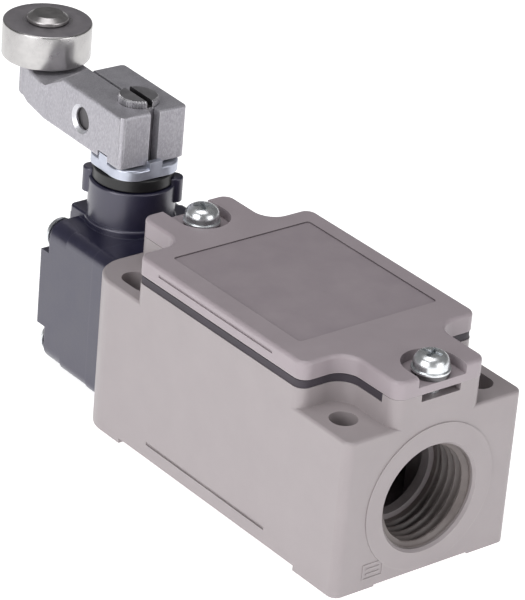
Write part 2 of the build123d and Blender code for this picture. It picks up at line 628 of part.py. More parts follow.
with BuildPart() as lever_clamp_half:
    with BuildSketch(lever_plane(LEVER_Z0)):
        with BuildLine():
            Polyline(
                (SLIT_NEAR, -5.9), (7.5, -5.9), (7.5, BLOCK_END), (SLIT_FAR, BLOCK_END), (SLIT_FAR, 0.0),
                (SLIT_NEAR, 0.0), close=True,
            )
        make_face()
    extrude(amount=LEVER_Z1 - LEVER_Z0)
    fillet(
        lever_clamp_half.edges().filter_by(Axis.Z).filter_by(
            lambda e: any(
                abs(e.center().X - lever_xy(u, 7.5)[0]) < 0.05 and abs(e.center().Y - lever_xy(u, 7.5)[1]) < 0.05
                for u in (-5.9, BLOCK_END)
            )
        ),
        radius=1.1,
    )
    fillet(
        lever_clamp_half.faces().sort_by(Axis.Z)[-1].edges().filter_by(lambda e: e.center().X > 1.0),
        radius=0.5,
    )
    # land that bears on the arm at the far end
    with BuildSketch(lever_plane(LEVER_Z0)):
        with Locations((0.05, BLOCK_END - 0.9)):
            Rectangle(2 * SLIT_FAR + 0.1, 1.2)
    extrude(amount=LEVER_Z1 - LEVER_Z0 - 1.6)
    with BuildSketch(lever_plane(LEVER_Z0 - 1)):
        Circle(SHAFT_R + 0.03)
    extrude(amount=20, mode=Mode.SUBTRACT)
    # bolt clearance and counterbore
    with BuildSketch(lever_side(0.0, 1)):
        with Locations((BOLT_U, BOLT_Z)):
            Circle(2.65)
    extrude(amount=10, mode=Mode.SUBTRACT)
    with BuildSketch(lever_side(2.95, 1)):
        with Locations((BOLT_U, BOLT_Z)):
            Circle(4.35)
    extrude(amount=10, mode=Mode.SUBTRACT)
    with BuildSketch(lever_plane(LEVER_Z0)):
        with Locations((7.0, 0)):
            Rectangle(2.6, 3.2)
        with Locations((0, 6.7)):
            Rectangle(3.2, 1.9)
    extrude(amount=1.2, mode=Mode.SUBTRACT)
lever_clamp_half.part.label = "lever_clamp_half"
export_step(lever_clamp_half.part, "parts/lever_clamp_half.step")

with BuildPart() as lever_bolt:
    with BuildSketch(lever_side(-6.3, 1)):
        with Locations((BOLT_U, BOLT_Z)):
            Circle(2.5)
    extrude(amount=9.6)
    with BuildSketch(lever_side(3.0, 1)):
        with Locations((BOLT_U, BOLT_Z)):
            Circle(4.15)
    extrude(amount=4.3)
    chamfer(lever_bolt.faces().sort_by(Axis.X)[-1].edges(), length=0.4)
    with BuildSketch(lever_side(7.3, 1)):
        with Locations((BOLT_U, BOLT_Z)):
            RegularPolygon(radius=2.31, side_count=6)
    extrude(amount=-2.6, mode=Mode.SUBTRACT)
lever_bolt.part.label = "lever_bolt"
export_step(lever_bolt.part, "parts/lever_bolt.step")

# ---------------------------------------------------------------- roller
with BuildPart() as roller_washer:
    with BuildSketch(lever_plane(PAD_Z)):
        with Locations((0, LEVER_LEN)):
            Circle(4.2)
            Circle(2.53, mode=Mode.SUBTRACT)
    extrude(amount=ROLLER_Z0 - PAD_Z - 0.05)
roller_washer.part.label = "roller_washer"
export_step(roller_washer.part, "parts/roller_washer.step")

with BuildPart() as roller:
    with BuildSketch(lever_plane(ROLLER_Z0)):
        with Locations((0, LEVER_LEN)):
            Circle(ROLLER_R)
    extrude(amount=ROLLER_Z1 - ROLLER_Z0)
    fillet(roller.edges().filter_by(GeomType.CIRCLE), radius=0.45)
    with BuildSketch(lever_plane(ROLLER_Z0)):
        with Locations((0, LEVER_LEN)):
            Circle(2.56)
    extrude(amount=10, mode=Mode.SUBTRACT)
roller.part.label = "roller"
export_step(roller.part, "parts/roller.step")

with BuildPart() as roller_pin:
    with BuildSketch(lever_plane(LEVER_Z0)):
        with Locations((0, LEVER_LEN)):
            Circle(2.5)
    extrude(amount=ROLLER_Z1 + 0.1 - LEVER_Z0)
    with BuildSketch(lever_plane(ROLLER_Z1 + 0.05)):
        with Locations((0, LEVER_LEN)):
            Circle(4.1)
    extrude(amount=RIVET_TOP - ROLLER_Z1 - 0.05)
    chamfer(roller_pin.faces().sort_by(Axis.Z)[-1].edges(), length=0.7, length2=0.5)
roller_pin.part.label = "roller_pin"
export_step(roller_pin.part, "parts/roller_pin.step")

# ---------------------------------------------------------------- plunger
with BuildPart() as plunger_guide:
    with BuildSketch(xz(36.0)):
        with Locations((0, ZC)):
            Circle(3.48)
            Circle(2.55, mode=Mode.SUBTRACT)
    extrude(amount=-(FAR_Y - 36.0))
plunger_guide.part.label = "plunger_guide"
export_step(plunger_guide.part, "parts/plunger_guide.step")

with BuildPart() as plunger:
    with BuildSketch(xz(22.0)):
        with Locations((0, ZC)):
            Circle(2.5)
    extrude(amount=-(46.5 - 22.0))
    with BuildSketch(xz(46.0)):
        with Locations((0, ZC)):
            Circle(4.5)
    extrude(amount=-1.9)
    fillet(
        plunger.edges().filter_by(GeomType.CIRCLE).filter_by(lambda e: e.center().Y > 47.8), radius=0.4,
    )
plunger.part.label = "plunger"
export_step(plunger.part, "parts/plunger.step")

with BuildPart() as plunger_spring:
    with BuildLine() as coil:
        Helix(pitch=1.15, height=5.0, radius=3.75, center=(0, 40.53, ZC), direction=(0, 1, 0))
    with BuildSketch(Plane(origin=coil.line @ 0, z_dir=coil.line % 0)):
        Circle(0.35)
    sweep()
plunger_spring.part.label = "plunger_spring"
export_step(plunger_spring.part, "parts/plunger_spring.step")

# ---------------------------------------------------------------- built-in switch
BLOCK_X, BLOCK_Y0, BLOCK_Y1, BLOCK_TOP = 13.5, -15.0, 17.5, 20.0
TERM = [(-9.3, 10.4), (9.3, 10.4), (-9.3, -10.7), (9.3, -10.7)]
with BuildPart() as switch_housing:
    with BuildSketch(Plane.XY.offset(CAV_Z)):
        with Locations((0, (BLOCK_Y0 + BLOCK_Y1) / 2)):
            Rectangle(2 * BLOCK_X, BLOCK_Y1 - BLOCK_Y0)
    extrude(amount=BLOCK_TOP - CAV_Z)
    fillet(switch_housing.edges().filter_by(Axis.Z), radius=1.0)
    # end walls beside the terminals
    with BuildSketch(Plane.XY.offset(BLOCK_TOP - 1)):
        with Locations((-9.4, 15.9), (9.4, 15.9)):
            Rectangle(7.6, 2.2)
    extrude(amount=6.0)
    # channel for the contact carrier
    with BuildSketch(Plane.XY.offset(11.0)):
        with Locations((0, 3.0)):
            Rectangle(9.2, 33.0)
    extrude(amount=20, mode=Mode.SUBTRACT)
    # cross slots for the moving contacts
    with BuildSketch(Plane.XY.offset(12.0)):
        with Locations((0, 5.55), (0, -6.0)):
            Rectangle(25.0, 5.5)
    extrude(amount=20, mode=Mode.SUBTRACT)
    # terminal screw holes and the two mounting holes
    with BuildSketch(Plane.XY.offset(12.5)):
        with Locations(*TERM):
            Circle(1.8)
    extrude(amount=20, mode=Mode.SUBTRACT)
    with BuildSketch(Plane.XY.offset(CAV_Z)):
        with Locations((-10.3, -0.1), (10.3, -0.1)):
            Circle(1.6)
    extrude(amount=20, mode=Mode.SUBTRACT)
switch_housing.part.label = "switch_housing"
export_step(switch_housing.part, "parts/switch_housing.step")

with BuildPart() as switch_cover:
    with BuildSketch(Plane.XY.offset(BLOCK_TOP)):
        with Locations((0, 1.4)):
            RectangleRounded(10.4, 32.0, 0.8)
    extrude(amount=1.4)
    fillet(switch_cover.faces().sort_by(Axis.Z)[-1].edges(), radius=0.4)
switch_cover.part.label = "switch_cover"
export_step(switch_cover.part, "parts/switch_cover.step")

with BuildPart() as contact_carrier:
    with BuildSketch(Plane.XY.offset(13.0)):
        with Locations((0, (-9.6 + 21.95) / 2)):
            Rectangle(6.4, 21.95 + 9.6)
    extrude(amount=6.0)
    # windows for the two contact bridges and their springs
    with BuildSketch(Plane.XY.offset(13.8)):
        with Locations((0, (2.0 + 6.55) / 2), (0, (-5.05 - 0.5) / 2)):
            Rectangle(10, 4.55)
    extrude(amount=4.4, mode=Mode.SUBTRACT)
contact_carrier.part.label = "contact_carrier"
export_step(contact_carrier.part, "parts/contact_carrier.step")

with BuildPart() as moving_contacts:
    for y0, y1, side in ((5.5, 6.5, 1), (-5.0, -4.0, -1)):
        with BuildSketch(Plane.XY.offset(14.3)):
            with Locations((0, (y0 + y1) / 2)):
                Rectangle(20.0, 1.0)
        extrude(amount=3.4)
        with BuildSketch(xz(y1 if side > 0 else y0)):
            with Locations((-8.6, ZC), (8.6, ZC)):
                Circle(1.2)
        extrude(amount=-0.4 * side)
moving_contacts.part.label = "moving_contacts"
export_step(moving_contacts.part, "parts/moving_contacts.step")

with BuildPart() as contact_springs:
    for y in (2.35, -3.65):
        with BuildLine() as coil:
            Helix(pitch=0.9, height=2.8, radius=1.4, center=(0, y, ZC), direction=(0, 1, 0))
        with BuildSketch(Plane(origin=coil.line @ 0, z_dir=coil.line % 0)):
            Circle(0.2)
        sweep()
contact_springs.part.label = "contact_springs"
export_step(contact_springs.part, "parts/contact_springs.step")

with BuildPart() as carrier_spring:
    with BuildLine() as coil:
        Helix(pitch=0.8, height=3.1, radius=1.9, center=(0, -13.1, ZC), direction=(0, 1, 0))
    with BuildSketch(Plane(origin=coil.line @ 0, z_dir=coil.line % 0)):
        Circle(0.22)
    sweep()
carrier_spring.part.label = "carrier_spring"
export_step(carrier_spring.part, "parts/carrier_spring.step")

with BuildPart() as fixed_contacts:
    # upright blades in the cross slots
    for yc in (7.45, -8.2):
        with BuildSketch(Plane.XY.offset(12.1)):
            with Locations((-9.0, yc), (9.0, yc)):
                Rectangle(6.4, 1.0)
        extrude(amount=BLOCK_TOP - 12.1 + 0.5)
    # strips on top, under the terminal screws
    with BuildSketch(Plane.XY.offset(BLOCK_TOP)):
        for sx in (-1, 1):
            with Locations((sx * 9.3, (6.95 + 13.9) / 2), (sx * 9.3, (-14.2 - 7.3) / 2)):
                Rectangle(6.9, 6.95)
        with Locations(*TERM):
            Circle(1.78, mode=Mode.SUBTRACT)
    extrude(amount=1.0)
fixed_contacts.part.label = "fixed_contacts"
export_step(fixed_contacts.part, "parts/fixed_contacts.step")

with BuildPart() as terminal_clamps:
    with BuildSketch(Plane.XY.offset(BLOCK_TOP + 1.0)):
        with Locations(*TERM):
            RectangleRounded(6.2, 6.2, 0.6)
            Circle(1.85, mode=Mode.SUBTRACT)
    extrude(amount=0.9)
terminal_clamps.part.label = "terminal_clamps"
export_step(terminal_clamps.part, "parts/terminal_clamps.step")

with BuildPart() as terminal_screws:
    with BuildSketch(Plane.XY.offset(13.0)):
        with Locations(*TERM):
            Circle(1.75)
    extrude(amount=9.2)
    with BuildSketch(Plane.XY.offset(BLOCK_TOP + 1.93)):
        with Locations(*TERM):
            Circle(2.95)
    extrude(amount=2.0)
    fillet(
        terminal_screws.edges().filter_by(GeomType.CIRCLE).filter_by(lambda e: e.center().Z > 23.8), radius=0.7,
    )
    with BuildSketch(Plane.XY.offset(BLOCK_TOP + 3.93)):
        with Locations(*TERM):
            Rectangle(3.2, 0.8, rotation=35)
            Rectangle(0.8, 3.2, rotation=35)
    extrude(amount=-1.1, mode=Mode.SUBTRACT)
terminal_screws.part.label = "terminal_screws"
export_step(terminal_screws.part, "parts/terminal_screws.step")

with BuildPart() as switch_mount_screws:
    with BuildSketch(Plane.XY.offset(2.4)):
        with Locations((-10.3, -0.1), (10.3, -0.1)):
            Circle(1.5)
    extrude(amount=18.0)
    with BuildSketch(Plane.XY.offset(BLOCK_TOP)):
        with Locations((-10.3, -0.1), (10.3, -0.1)):
            Circle(2.7)
    extrude(amount=1.9)
    fillet(
        switch_mount_screws.edges().filter_by(GeomType.CIRCLE).filter_by(lambda e: e.center().Z > 21.8), radius=0.7,
    )
    with BuildSketch(Plane.XY.offset(BLOCK_TOP + 1.9)):
        with Locations((-10.3, -0.1), (10.3, -0.1)):
            Rectangle(6, 0.8)
    extrude(amount=-1.0, mode=Mode.SUBTRACT)
switch_mount_screws.part.label = "switch_mount_screws"
export_step(switch_mount_screws.part, "parts/switch_mount_screws.step")

with BuildPart() as ground_washer:
    with BuildSketch(Plane.XY.offset(CAV_Z + 10.0)):
        with Locations((-14.2, -17.8)):
            Circle(2.6)
            Circle(1.85, mode=Mode.SUBTRACT)
    extrude(amount=0.7)
ground_washer.part.label = "ground_washer"
export_step(ground_washer.part, "parts/ground_washer.step")

with BuildPart() as ground_screw:
    with BuildSketch(Plane.XY.offset(CAV_Z + 2.5)):
        with Locations((-14.2, -17.8)):
            Circle(1.75)
    extrude(amount=8.5)
    with BuildSketch(Plane.XY.offset(CAV_Z + 10.72)):
        with Locations((-14.2, -17.8)):
            Circle(2.6)
    extrude(amount=1.9)
    fillet(
        ground_screw.edges().filter_by(GeomType.CIRCLE).filter_by(lambda e: e.center().Z > 16.5), radius=0.7,
    )
    with BuildSketch(Plane.XY.offset(CAV_Z + 12.62)):
        with Locations((-14.2, -17.8)):
            Rectangle(6, 0.8, rotation=20)
    extrude(amount=-1.0, mode=Mode.SUBTRACT)
ground_screw.part.label = "ground_screw"
export_step(ground_screw.part, "parts/ground_screw.step")
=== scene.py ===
import bpy
import bmesh
import json
import math
import random
from mathutils import Matrix, Vector


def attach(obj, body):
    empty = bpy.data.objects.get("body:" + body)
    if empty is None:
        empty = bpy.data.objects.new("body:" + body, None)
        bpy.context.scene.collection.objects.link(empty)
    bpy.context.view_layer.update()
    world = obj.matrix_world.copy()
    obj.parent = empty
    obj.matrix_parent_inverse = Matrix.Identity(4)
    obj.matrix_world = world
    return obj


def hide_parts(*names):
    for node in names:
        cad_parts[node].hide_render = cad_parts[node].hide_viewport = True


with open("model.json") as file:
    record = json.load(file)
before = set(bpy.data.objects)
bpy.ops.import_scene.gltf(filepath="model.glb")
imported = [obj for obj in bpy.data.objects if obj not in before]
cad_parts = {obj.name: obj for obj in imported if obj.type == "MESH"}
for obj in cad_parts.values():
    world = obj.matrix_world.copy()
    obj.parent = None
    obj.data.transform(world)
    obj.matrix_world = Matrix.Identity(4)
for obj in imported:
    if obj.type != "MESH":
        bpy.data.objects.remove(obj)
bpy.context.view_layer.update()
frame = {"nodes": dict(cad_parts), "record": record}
nodes = frame["nodes"]
random.seed(11)
MM = 0.001
TH = math.radians(-2.0)
SHAFT = Vector((0, 54.0))
LEVER_LEN = 32.0


# ------------------------------------------------------------ materials
def lin(c):
    """sRGB 0-255 to linear."""
    out = []
    for v in c:
        v = v / 255.0
        out.append(v / 12.92 if v <= 0.04045 else ((v + 0.055) / 1.055) ** 2.4)
    return (*out, 1.0)


def material(name, col, dark, metallic, rough, rough_var=0.08, var_scale=140.0, stretch=(1, 1, 1),
             grain_scale=2500.0, grain=0.25, grain_d=0.00004, wear_and_highlight=None, wear_and_highlight_amt=0.5, wear_and_highlight_r=0.0004,
             speck=None, coat=0.0, aniso=0.0, lathe=None, spec=None,
             tint=None):
    m = bpy.data.materials.new(name)
    m.use_nodes = True
    nt = m.node_tree
    n, l = nt.nodes, nt.links
    p = n["Principled BSDF"]
    p.inputs["Metallic"].default_value = metallic
    if coat:
        p.inputs["Coat Weight"].default_value = coat
        p.inputs["Coat Roughness"].default_value = 0.25
    if tint:
        p.inputs["Specular Tint"].default_value = tint
    if spec is not None:
        p.inputs["Specular IOR Level"].default_value = spec
    if aniso:
        p.inputs["Anisotropic"].default_value = aniso
    tc = n.new("ShaderNodeTexCoord")
    mp = n.new("ShaderNodeMapping")
    mp.inputs["Scale"].default_value = stretch
    l.new(tc.outputs["Object"], mp.inputs["Vector"])
    # slow colour variation
    big = n.new("ShaderNodeTexNoise")
    big.inputs["Scale"].default_value = var_scale
    big.inputs["Detail"].default_value = 6
    big.inputs["Roughness"].default_value = 0.6
    l.new(mp.outputs["Vector"], big.inputs["Vector"])
    ramp = n.new("ShaderNodeMapRange")
    ramp.inputs["From Min"].default_value = 0.3
    ramp.inputs["From Max"].default_value = 0.7
    l.new(big.outputs["Fac"], ramp.inputs["Value"])
    mix = n.new("ShaderNodeMix")
    mix.data_type = "RGBA"
    mix.inputs[6].default_value = dark
    mix.inputs[7].default_value = col
    l.new(ramp.outputs["Result"], mix.inputs[0])
    colour = mix.outputs[2]
    # fine grain: cast skin, orange peel or grit blast
    fine = n.new("ShaderNodeTexNoise")
    fine.inputs["Scale"].default_value = grain_scale
    fine.inputs["Detail"].default_value = 4
    fine.inputs["Roughness"].default_value = 0.65
    l.new(mp.outputs["Vector"], fine.inputs["Vector"])
    if speck:
        sp = n.new("ShaderNodeMapRange")
        sp.inputs["From Min"].default_value = 0.42
        sp.inputs["From Max"].default_value = 0.66
        l.new(fine.outputs["Fac"], sp.inputs["Value"])
        mx = n.new("ShaderNodeMix")
        mx.data_type = "RGBA"
        mx.inputs[7].default_value = speck
        l.new(sp.outputs["Result"], mx.inputs[0])
        l.new(colour, mx.inputs[6])
        colour = mx.outputs[2]
    # lighter colour along the bevel edge mask: partly rubbed-edge wear, partly a painted highlight along the edges
    if wear_and_highlight:
        bv = n.new("ShaderNodeBevel")
        bv.samples = 6
        bv.inputs["Radius"].default_value = wear_and_highlight_r
        geo = n.new("ShaderNodeNewGeometry")
        dot = n.new("ShaderNodeVectorMath")
        dot.operation = "DOT_PRODUCT"
        l.new(bv.outputs["Normal"], dot.inputs[0])
        l.new(geo.outputs["Normal"], dot.inputs[1])
        edge = n.new("ShaderNodeMapRange")
        edge.inputs["From Min"].default_value = 0.995
        edge.inputs["From Max"].default_value = 0.86
        edge.inputs["To Max"].default_value = wear_and_highlight_amt
        l.new(dot.outputs["Value"], edge.inputs["Value"])
        brk = n.new("ShaderNodeMath")
        brk.operation = "MULTIPLY"
        l.new(edge.outputs["Result"], brk.inputs[0])
        l.new(ramp.outputs["Result"], brk.inputs[1])
        mw = n.new("ShaderNodeMix")
        mw.data_type = "RGBA"
        mw.inputs[7].default_value = wear_and_highlight
        l.new(brk.outputs["Value"], mw.inputs[0])
        l.new(colour, mw.inputs[6])
        colour = mw.outputs[2]
    l.new(colour, p.inputs["Base Color"])
    rr = n.new("ShaderNodeMapRange")
    rr.inputs["From Min"].default_value = 0.3
    rr.inputs["From Max"].default_value = 0.7
    rr.inputs["To Min"].default_value = rough - rough_var
    rr.inputs["To Max"].default_value = rough + rough_var
    l.new(big.outputs["Fac"], rr.inputs["Value"])
    l.new(rr.outputs["Result"], p.inputs["Roughness"])
    height = fine.outputs["Fac"]
    if lathe is not None:
        # turning marks: rings about the given centre
        sep = n.new("ShaderNodeVectorMath")
        sep.operation = "SUBTRACT"
        sep.inputs[1].default_value = lathe
        l.new(tc.outputs["Object"], sep.inputs[0])
        wv = n.new("ShaderNodeTexWave")
        wv.wave_type = "RINGS"
        wv.rings_direction = "Z"
        wv.inputs["Scale"].default_value = 1300
        wv.inputs["Distortion"].default_value = 1.5
        wv.inputs["Detail"].default_value = 2
        l.new(sep.outputs["Vector"], wv.inputs["Vector"])
        ad = n.new("ShaderNodeMath")
        ad.operation = "MULTIPLY_ADD"
        ad.inputs[1].default_value = 0.6
        l.new(wv.outputs["Fac"], ad.inputs[0])
        l.new(fine.outputs["Fac"], ad.inputs[2])
        height = ad.outputs["Value"]
    bump = n.new("ShaderNodeBump")
    bump.inputs["Strength"].default_value = grain
    bump.inputs["Distance"].default_value = grain_d
    l.new(height, bump.inputs["Height"])
    l.new(bump.outputs["Normal"], p.inputs["Normal"])
    return m


rc = SHAFT + Vector((-LEVER_LEN * math.sin(TH), LEVER_LEN * math.cos(TH)))
ROLL = (rc.x * MM, rc.y * MM, 0.056)
MAT = {
    "case_paint": material("case_paint", lin((155, 147, 149)), lin((150, 142, 144)), 0.0, 0.42, 0.06,
                           grain_scale=1700, grain=0.28, grain_d=0.00003, wear_and_highlight=lin((176, 169, 170)), wear_and_highlight_amt=0.5,
                           wear_and_highlight_r=0.0005, coat=0.12),
    # darkened case paint for the conduit threads: painted shade inside the bore, with a stronger painted highlight
    # along the thread edges
    "thread_painted_shade": material("thread_painted_shade", lin((112, 103, 101)), lin((92, 84, 83)), 0.0, 0.46, 0.06,
                             grain_scale=1500, grain=0.30, grain_d=0.00003, wear_and_highlight=lin((158, 150, 148)), wear_and_highlight_amt=0.8,
                             wear_and_highlight_r=0.0003, coat=0.15),
    "cover_paint": material("cover_paint", lin((157, 147, 152)), lin((152, 142, 147)), 0.0, 0.42, 0.06,
                            grain_scale=1700, grain=0.28, grain_d=0.00003, wear_and_highlight=lin((176, 168, 171)), wear_and_highlight_amt=0.5,
                            wear_and_highlight_r=0.0005, coat=0.12),
    "head_paint": material("head_paint", lin((25, 24, 47)), lin((18, 17, 38)), 0.0, 0.36, 0.07,
                           grain_scale=1400, grain=0.4, grain_d=0.00004, wear_and_highlight=lin((84, 86, 98)), wear_and_highlight_amt=0.7,
                           wear_and_highlight_r=0.0005, coat=0.35, spec=0.95, tint=(0.9, 0.87, 1.0, 1.0)),
    "black_rubber": material("black_rubber", lin((60, 53, 62)), lin((46, 40, 48)), 0.0, 0.6, 0.08,
                             grain_scale=1800, grain=0.3),
    "seal_rubber": material("seal_rubber", lin((14, 14, 16)), lin((9, 9, 11)), 0.0, 0.38, 0.06,
                            grain_scale=900, grain=0.15, coat=0.1),
    "zinc_screw": material("zinc_screw", lin((230, 232, 234)), lin((202, 205, 208)), 0.92, 0.28, 0.08,
                           var_scale=420, grain_scale=3000, grain=0.12, wear_and_highlight=lin((244, 246, 248)), wear_and_highlight_amt=0.6),
    "steel_turned": material("steel_turned", lin((166, 164, 168)), lin((144, 142, 146)), 0.85, 0.36, 0.08,
                             var_scale=500, grain_scale=3000, grain=0.15, wear_and_highlight=lin((214, 214, 216)), wear_and_highlight_amt=0.6),
    "plate_zinc": material("plate_zinc", lin((192, 196, 208)), lin((170, 174, 187)), 0.85, 0.36, 0.08,
                           var_scale=380, grain_scale=2600, grain=0.2, wear_and_highlight=lin((226, 229, 238)), wear_and_highlight_amt=0.7),
    "lever_metal": material("lever_metal", lin((170, 168, 174)), lin((153, 151, 158)), 0.68, 0.5, 0.06,
                            var_scale=420, stretch=(1, 1, 0.45), grain_scale=3600, grain=0.5, grain_d=0.00005,
                            speck=lin((184, 182, 188)), wear_and_highlight=lin((220, 219, 223)), wear_and_highlight_amt=0.7, wear_and_highlight_r=0.0005),
    "steel_dark": material("steel_dark", lin((112, 110, 112)), lin((86, 84, 86)), 0.9, 0.42, 0.06, grain=0.2,
                           wear_and_highlight=lin((150, 148, 150)), wear_and_highlight_amt=0.6),
    "roller_steel": material("roller_steel", lin((190, 188, 187)), lin((172, 170, 170)), 1.0, 0.3, 0.05,
                             var_scale=420, grain_scale=2800, grain=0.22, grain_d=0.00003,
                             wear_and_highlight=lin((224, 223, 222)), wear_and_highlight_amt=0.6, lathe=ROLL),
    "roller_face": material("roller_face", lin((140, 136, 140)), lin((126, 122, 127)), 0.45, 0.5, 0.05,
                            var_scale=420, grain_scale=3000, grain=0.3, grain_d=0.00003,
                            wear_and_highlight=lin((216, 214, 214)), wear_and_highlight_amt=0.7, lathe=ROLL),
    "slot_shade": material("slot_shade", lin((60, 58, 61)), lin((46, 44, 47)), 0.6, 0.5, 0.05,
                           grain_scale=3000, grain=0.2, wear_and_highlight=lin((120, 118, 120)), wear_and_highlight_amt=0.5),
    "field_paint": material("field_paint", lin((150, 140, 145)), lin((142, 132, 138)), 0.0, 0.46, 0.06,
                            grain_scale=1900, grain=0.4, grain_d=0.00003, wear_and_highlight=lin((166, 158, 161)), wear_and_highlight_amt=0.4,
                            coat=0.1),
    # darker colour for the walls of the shallow field: painted shade along its border
    "field_wall_painted_shade": material("field_wall_painted_shade", lin((96, 88, 92)), lin((84, 77, 81)), 0.0, 0.5, 0.06,
                           grain_scale=1700, grain=0.3, wear_and_highlight=lin((120, 112, 116)), wear_and_highlight_amt=0.3),
    "cut_edge": material("cut_edge", lin((216, 216, 220)), lin((196, 196, 202)), 0.6, 0.34, 0.05,
                         grain_scale=3000, grain=0.15, wear_and_highlight=lin((246, 246, 248)), wear_and_highlight_amt=0.5),
    "rivet_steel": material("rivet_steel", lin((178, 175, 175)), lin((156, 153, 154)), 1.0, 0.36, 0.07,
                            var_scale=520, grain_scale=2800, grain=0.25, wear_and_highlight=lin((214, 212, 212)), wear_and_highlight_amt=0.7,
                            lathe=ROLL),
    "bronze": material("bronze", lin((190, 150, 96)), lin((160, 122, 74)), 1.0, 0.4, 0.06,
                       wear_and_highlight=lin((214, 178, 124)), wear_and_highlight_amt=0.5),
    "spring_steel": material("spring_steel", lin((190, 190, 190)), lin((160, 160, 160)), 1.0, 0.25, 0.05,
                             wear_and_highlight=lin((220, 220, 220)), wear_and_highlight_amt=0.5),
    "black_plastic": material("black_plastic", lin((30, 30, 32)), lin((23, 23, 25)), 0.0, 0.5, 0.06,
                              grain_scale=1600, grain=0.3, wear_and_highlight=lin((52, 52, 54)), wear_and_highlight_amt=0.5),
    "clear_brown": material("clear_brown", lin((120, 84, 52)), lin((104, 72, 44)), 0.0, 0.25, 0.05,
                            wear_and_highlight=lin((146, 108, 72)), wear_and_highlight_amt=0.5),
    "white_plastic": material("white_plastic", lin((224, 222, 214)), lin((212, 210, 202)), 0.0, 0.4, 0.05,
                              wear_and_highlight=lin((236, 234, 228)), wear_and_highlight_amt=0.5),
    "brass_contact": material("brass_contact", lin((214, 182, 110)), lin((190, 156, 88)), 1.0, 0.3, 0.06,
                              wear_and_highlight=lin((230, 204, 140)), wear_and_highlight_amt=0.5),
    "green_screw": material("green_screw", lin((96, 140, 96)), lin((80, 120, 82)), 0.8, 0.35, 0.06,
                            wear_and_highlight=lin((130, 168, 130)), wear_and_highlight_amt=0.5),
}
slot_of = {s["node"]: s["material_slot"] for s in frame["record"]["subparts"]}
for name, ob in nodes.items():
    ob.data.materials.clear()
    ob.data.materials.append(MAT[slot_of[name]])


# ------------------------------------------------------------ mesh helpers
def finish_piece(ob, mat, body, slot, *replaced, smooth=35.0):
    ob.data.materials.clear()
    ob.data.materials.append(MAT[mat])
    for poly in ob.data.polygons:
        poly.use_smooth = True
    if smooth is not None:
        ob.data.set_sharp_from_angle(angle=math.radians(smooth))
    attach(ob, body)
    if replaced:
        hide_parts(*replaced)
    return ob


def new_object(name, bm):
    bmesh.ops.recalc_face_normals(bm, faces=bm.faces)
    me = bpy.data.meshes.new(name)
    bm.to_mesh(me)
    bm.free()
    ob = bpy.data.objects.new(name, me)
    bpy.context.scene.collection.objects.link(ob)
    return ob


def lathe_mesh(bm, profile, centre, axis="z", seg=96, shape=None):
    """Closed solid of revolution. profile: [(r, h)], first and last on the axis (r = 0)."""
    rings = []
    for k, (r, h) in enumerate(profile):
        if r <= 1e-9:
            rings.append([bm.verts.new(place(0, 0, h, centre, axis))])
            continue
        ring = []
        for i in range(seg):
            a = 2 * math.pi * i / seg
            rr = shape(r, h, a) if shape else r
            ring.append(bm.verts.new(place(rr * math.cos(a), rr * math.sin(a), h, centre, axis)))
        rings.append(ring)
    for a, b in zip(rings, rings[1:]):
        for i in range(seg):
            j = (i + 1) % seg
            if len(a) == 1:
                bm.faces.new((a[0], b[i], b[j]))
            elif len(b) == 1:
                bm.faces.new((a[i], b[0], a[j]))
            else:
                bm.faces.new((a[i], b[i], b[j], a[j]))


def ring_mesh(bm, profile, centre, axis="z", seg=96, shape=None):
    """Closed ring of revolution about the axis. profile: closed loop of (r, h), r > 0."""
    rings = []
    for r, h in profile:
        ring = []
        for i in range(seg):
            a = 2 * math.pi * i / seg
            rr = shape(r, h, a) if shape else r
            ring.append(bm.verts.new(place(rr * math.cos(a), rr * math.sin(a), h, centre, axis)))
        rings.append(ring)
    n = len(rings)
    for k in range(n):
        a, b = rings[k], rings[(k + 1) % n]
        for i in range(seg):
            j = (i + 1) % seg
            bm.faces.new((a[i], b[i], b[j], a[j]))


def place(u, v, h, centre, axis):
    if axis == "z":
        return (Vector((centre[0] + u, centre[1] + v, centre[2] + h))) * MM
    return (Vector((centre[0] + u, centre[1] + h, centre[2] + v))) * MM


def soften(node, width, body, seg=3, angle=32.0, name=None, long_edges=None):
    """A copy of the CAD piece with its hard edges rounded, shown in its place.
    long_edges: (shortest length, lowest z) in mm, to round only the outer straight edges."""
    bm = bmesh.new()
    bm.from_mesh(nodes[node].data)
    bmesh.ops.remove_doubles(bm, verts=bm.verts, dist=1e-6)
    bmesh.ops.dissolve_limit(bm, angle_limit=math.radians(0.6), verts=bm.verts, edges=bm.edges)
    ob = new_object(name or node + "_soft", bm)
    md = ob.modifiers.new("bevel", "BEVEL")
    md.width = width * MM
    md.segments = seg
    if long_edges:
        shortest, z_low = long_edges
        mb = bmesh.new()
        mb.from_mesh(ob.data)
        layer = mb.edges.layers.float.new("bevel_weight_edge")
        for e in mb.edges:
            if len(e.link_faces) != 2 or e.calc_face_angle() < math.radians(angle):
                continue
            mid = (e.verts[0].co + e.verts[1].co) / 2 / MM
            across_v = (mid.x - SHAFT.x) * math.cos(TH) + (mid.y - SHAFT.y) * math.sin(TH)
            outer = e.is_convex and abs(across_v) > 2.0 and min(v.co.z for v in e.verts) >= z_low * MM
            if outer and e.calc_length() >= shortest * MM:
                e[layer] = 1.0
            else:
                e.smooth = False
        mb.to_mesh(ob.data)
        mb.free()
        md.limit_method = "WEIGHT"
    else:
        md.limit_method = "ANGLE"
        md.angle_limit = math.radians(angle)
    md.use_clamp_overlap = not long_edges
    md.harden_normals = False
    if long_edges:
        weld = ob.modifiers.new("weld", "WELD")
        weld.merge_threshold = 0.00001
    finish_piece(ob, slot_of[node], body, slot_of[node], node, smooth=None)
    wn = ob.modifiers.new("normals", "WEIGHTED_NORMAL")
    wn.keep_sharp = True
    wn.weight = 80
    return ob


